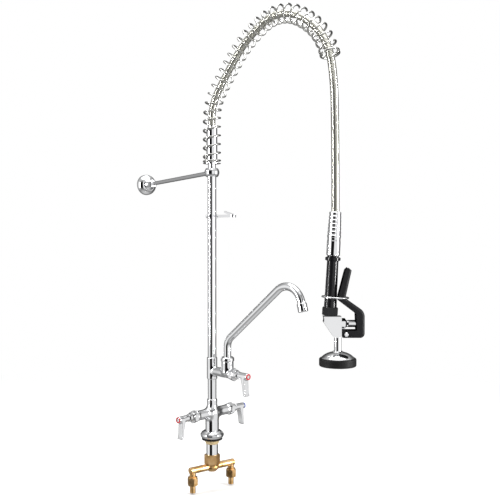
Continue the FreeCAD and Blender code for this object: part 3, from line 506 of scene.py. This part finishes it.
def normals_of(points, faces):
    """For each point, the outward direction of the faces round it, weighted by their areas."""
    quads = np.array([face if len(face) == 4 else (*face, face[-1]) for face in faces])
    across = points[quads[:, 2]] - points[quads[:, 0]]
    along = points[quads[:, 3]] - points[quads[:, 1]]
    flat = np.cross(across, along)
    total = np.zeros_like(points)
    for corner in range(4):
        for axis in range(3):
            total[:, axis] += np.bincount(quads[:, corner], weights=flat[:, axis], minlength=len(points))
    return total / np.maximum(np.linalg.norm(total, axis=1, keepdims=True), 1e-12)


def smoothed(points, edges, passes):
    """The points, each moved part of the way to its neighbours' mean in each pass."""
    for _ in range(passes):
        points = points + SMOOTH_SHARE * (neighbour_mean(points, edges) - points)
    return points


def casting(node, voxel, soften, fill):
    """The chrome CAD node with edges softened and inside corners filled, as a casting has them."""
    points, faces, edges = remeshed(node, voxel)
    points = smoothed(points, edges, soften)
    for step in range(fill):
        if step % NORMALS_EVERY == 0:
            normals = normals_of(points, faces)
        pull = neighbour_mean(points, edges) - points
        outward = np.maximum((pull * normals).sum(axis=1, keepdims=True), 0)
        points += FILL_SHARE * outward * normals
    points = smoothed(points, edges, LAST_PASSES)
    piece = new_piece(node + "_cast", points, faces, "chrome")
    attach(piece, next(b for b, names in frame["record"]["behaviour"]["bodies"].items() if node in names))
    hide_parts(node)
    return piece


# ---------------------------------------------------------------- stage, light and camera

UP = Vector((0, 0, 1))
# the way the camera looks, seen from above
VIEW = Vector((0.7193, 0.6947, 0)).normalized()
CAMERA_PLACE = Vector((-1.1287, -1.2064, 0.4488))
CAMERA_DIP = math.radians(1.07)
FLOOR_HEIGHT = -0.112
FLOOR_REACH = 30.0
# the floor's paint turns to even white between these distances from the origin
FLOOR_PAINT_TO = 0.25
FLOOR_WHITE_FROM = 1.6
# degrees to the right of the way back to the camera, and brightness there
CARDS = (
    (-180, 0.07),
    (-150, 0.09),
    (-128, 0.38),
    (-104, 0.42),
    (-88, 1.0),
    (-50, 1.0),
    (-45, 0.01),
    (3, 0.008),
    (5, 1.0),
    (98, 0.92),
    (112, 0.10),
    (150, 0.12),
    (180, 0.07),
)
# height of the direction, from -1 straight down to 1 straight up, and brightness there
DOME = ((-1, 0.7), (-0.75, 0.35), (-0.4, 0.16), (0.4, 0.32), (0.7, 0.55), (0.9, 1.0))
# the cards give way to the dome between these heights, above and below the horizon
CARDS_TO = 0.35
DOME_FROM = 0.7
LIT_POINT = (0, -0.16, 0.4)
STRIP_SIZE = (0.12, 1.3)


def floor():
    """A plain pale floor that turns to even white away from the faucet."""
    mesh = bpy.data.meshes.new("floor")
    signs = ((-1, -1), (1, -1), (1, 1), (-1, 1))
    corners = [(x * FLOOR_REACH, y * FLOOR_REACH, FLOOR_HEIGHT) for x, y in signs]
    mesh.from_pydata(corners, [], [(0, 1, 2, 3)])
    obj = bpy.data.objects.new("floor", mesh)
    bpy.context.scene.collection.objects.link(obj)
    look = Look("floor_paint", Base_Color=(0.94, 0.94, 0.94, 1), Specular_IOR_Level=0.1)
    look.rough(look.noise(4, 3), 0.7, 0.85)
    white = look.node("Emission", Color=(1, 1, 1, 1))
    distance = look.node("VectorMath", operation="LENGTH")
    look.link(look.place, distance.inputs[0])
    far = look.node("MapRange", interpolation_type="SMOOTHSTEP")
    far.inputs["From Min"].default_value = FLOOR_PAINT_TO
    far.inputs["From Max"].default_value = FLOOR_WHITE_FROM
    look.link(distance.outputs["Value"], far.inputs["Value"])
    mix = look.node("MixShader")
    look.link(far.outputs["Result"], mix.inputs["Fac"])
    look.link(look.shader.outputs["BSDF"], mix.inputs[1])
    look.link(white.outputs["Emission"], mix.inputs[2])
    look.link(mix.outputs["Shader"], look.tree.nodes["Material Output"].inputs["Surface"])
    mesh.materials.append(look.material)
    obj.visible_glossy = False


def grey(stops):
    return [(position, (value, value, value)) for position, value in stops]


def world():
    """White surroundings with dark cards, which draw the bands that polished metal shows."""
    sky = bpy.data.worlds.new("studio")
    bpy.context.scene.world = sky
    sky.use_nodes = True
    tree = sky.node_tree
    link = tree.links.new
    background = tree.nodes["Background"]

    def make(kind, operation=None):
        made = tree.nodes.new("ShaderNode" + kind)
        if operation:
            made.operation = operation
        return made

    def spread(value, low, high):
        """The value, spread so that low to high becomes 0 to 1."""
        made = make("MapRange")
        made.inputs["From Min"].default_value = low
        made.inputs["From Max"].default_value = high
        link(value, made.inputs["Value"])
        return made.outputs["Result"]

    def ramp(value, stops):
        made = make("ValToRGB")
        fill_ramp(made.color_ramp, grey(stops))
        link(value, made.inputs["Fac"])
        return made.outputs["Color"]

    def mixed(share, first, second):
        made = make("MixRGB")
        link(share, made.inputs["Fac"])
        link(first, made.inputs["Color1"])
        if second:
            link(second, made.inputs["Color2"])
        else:
            made.inputs["Color2"].default_value = (1, 1, 1, 1)
        return made.outputs["Color"]

    # cards by the direction's angle round the faucet
    place = make("TexCoord").outputs["Generated"]
    angle = make("Math", "ARCTAN2")
    for number, axis in enumerate((VIEW.cross(UP), -VIEW)):
        along = make("VectorMath", "DOT_PRODUCT")
        along.inputs[1].default_value = axis
        link(place, along.inputs[0])
        link(along.outputs["Value"], angle.inputs[number])
    turn = spread(angle.outputs["Value"], -math.pi, math.pi)
    cards = ramp(turn, [(degrees / 360 + 0.5, value) for degrees, value in CARDS])

    # a dome by its height, which takes over far above and below the horizon
    split = make("SeparateXYZ")
    link(place, split.inputs["Vector"])
    height = split.outputs["Z"]
    dome = ramp(spread(height, -1, 1), [((level + 1) / 2, value) for level, value in DOME])
    steep = make("Math", "ABSOLUTE")
    link(height, steep.inputs[0])
    around = mixed(spread(steep.outputs["Value"], CARDS_TO, DOME_FROM), cards, dome)

    # the camera itself sees plain white
    seen = make("LightPath").outputs["Is Camera Ray"]
    link(mixed(seen, around, None), background.inputs["Color"])


def area_light(name, place, size, watts):
    """A rectangular light that faces the faucet's middle."""
    data = bpy.data.lights.new(name, "AREA")
    data.shape = "RECTANGLE"
    data.size, data.size_y = size
    data.energy = watts
    obj = bpy.data.objects.new(name, data)
    obj.location = place
    obj.rotation_euler = (Vector(LIT_POINT) - Vector(place)).to_track_quat("-Z", "Y").to_euler()
    bpy.context.scene.collection.objects.link(obj)


def studio():
    """The surroundings, the floor and three soft lights."""
    world()
    floor()
    area_light("right_strip", place=(0.75, -2.05, 0.5), size=STRIP_SIZE, watts=60)
    area_light("left_strip", place=(-1.71, 0.67, 0.6), size=STRIP_SIZE, watts=26)
    area_light("top", place=(0, -0.1, 2.4), size=(2.0, 2.0), watts=40)
    bpy.context.scene.view_settings.view_transform = "Standard"


def camera():
    """A camera level with the riser's middle, to the left of the front."""
    data = bpy.data.cameras.new("camera")
    data.lens = 54
    data.sensor_width = 36
    data.clip_start = 0.01
    data.clip_end = 50
    obj = bpy.data.objects.new("camera", data)
    obj.location = CAMERA_PLACE
    look = VIEW * math.cos(CAMERA_DIP) - UP * math.sin(CAMERA_DIP)
    obj.rotation_euler = look.to_track_quat("-Z", "Y").to_euler()
    bpy.context.scene.collection.objects.link(obj)
    bpy.context.scene.camera = obj


# ---------------------------------------------------------------- the whole


CRISP_ANGLE = math.radians(32)


def smooth_cad(obj):
    """Shade round faces smooth, and keep the edges sharper than CRISP_ANGLE crisp."""
    mesh = obj.data
    mesh.shade_smooth()
    mesh.set_sharp_from_angle(angle=CRISP_ANGLE)


def main():
    for name, obj in nodes.items():
        paint(obj, SLOT_OF[name])
        smooth_cad(obj)
    springs(hoses())
    for node, voxel, soften, fill in CASTINGS:
        casting(node, voxel, soften, fill)
    camera()
    studio()


main()
